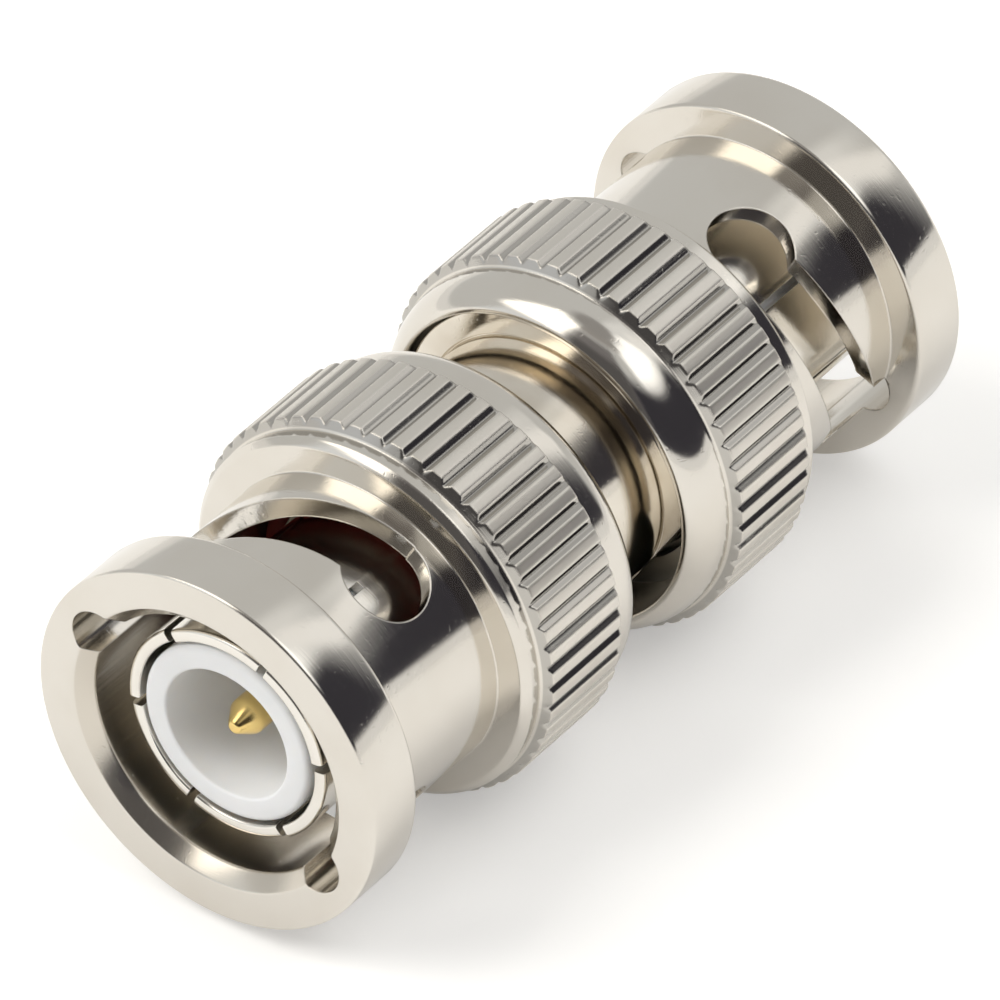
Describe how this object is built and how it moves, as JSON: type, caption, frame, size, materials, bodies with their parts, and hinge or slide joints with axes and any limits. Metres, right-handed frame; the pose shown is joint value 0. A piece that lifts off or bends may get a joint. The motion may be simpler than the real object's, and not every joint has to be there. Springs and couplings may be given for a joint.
{
  "type": "coaxial plug to plug adapter",
  "caption": "Straight coaxial adapter with a bayonet plug at both ends: sprung knurled coupling nuts turn on a short centre barrel, round slotted contacts and a pin.",
  "frame": {"origin": "on the axis, at the face of the lower nut's flange, on which the adapter stands", "axes": "+Z along the axis, from the lower plug's mouth to the upper plug's mouth"},
  "size_m": [0.0146, 0.0146, 0.0332],
  "materials": {
    "nut_plating": "polished nickel plate on brass, turned and knurled",
    "core_plating": "nickel plate on brass, turned",
    "contact_plating": "bright plate on a springy copper alloy",
    "gold_plating": "gold plate, polished",
    "white_insulator": "white fluoropolymer, turned",
    "red_gasket": "soft red rubber",
    "spring_metal": "spring metal strip"
  },
  "bodies": {
    "core": {"centre_sleeve": "core_plating", "centre_contact": "gold_plating", "lower_outer_contact": "contact_plating", "lower_insulator": "white_insulator", "lower_gasket": "red_gasket", "lower_plug_body": "core_plating", "lower_wave_washer_a": "spring_metal", "lower_wave_washer_b": "spring_metal", "upper_outer_contact": "contact_plating", "upper_insulator": "white_insulator", "upper_gasket": "red_gasket", "upper_plug_body": "core_plating", "upper_wave_washer_a": "spring_metal", "upper_wave_washer_b": "spring_metal"},
    "lower_thrust": {"lower_thrust_washer": "spring_metal"},
    "lower_nut": {"lower_coupling_nut": "nut_plating", "lower_retaining_ring": "spring_metal"},
    "upper_thrust": {"upper_thrust_washer": "spring_metal"},
    "upper_nut": {"upper_coupling_nut": "nut_plating", "upper_retaining_ring": "spring_metal"}
  },
  "joints": [
    {"name": "lower_nut_pull", "type": "slide", "parent": "core", "child": "lower_thrust", "axis": [0, 0, -1], "range_m": [0, 0.00035], "stiffness_N_per_m": 5000, "springref_m": -0.0005, "deforming": ["lower_wave_washer_a", "lower_wave_washer_b"]},
    {"name": "lower_nut_turn", "type": "hinge", "parent": "lower_thrust", "child": "lower_nut", "pos_m": [0, 0, 0], "axis": [0, 0, 1], "continuous": true},
    {"name": "upper_nut_pull", "type": "slide", "parent": "core", "child": "upper_thrust", "axis": [0, 0, 1], "range_m": [0, 0.00035], "stiffness_N_per_m": 5000, "springref_m": -0.0005, "deforming": ["upper_wave_washer_a", "upper_wave_washer_b"]},
    {"name": "upper_nut_turn", "type": "hinge", "parent": "upper_thrust", "child": "upper_nut", "pos_m": [0, 0, 0], "axis": [0, 0, 1], "continuous": true}
  ]
}
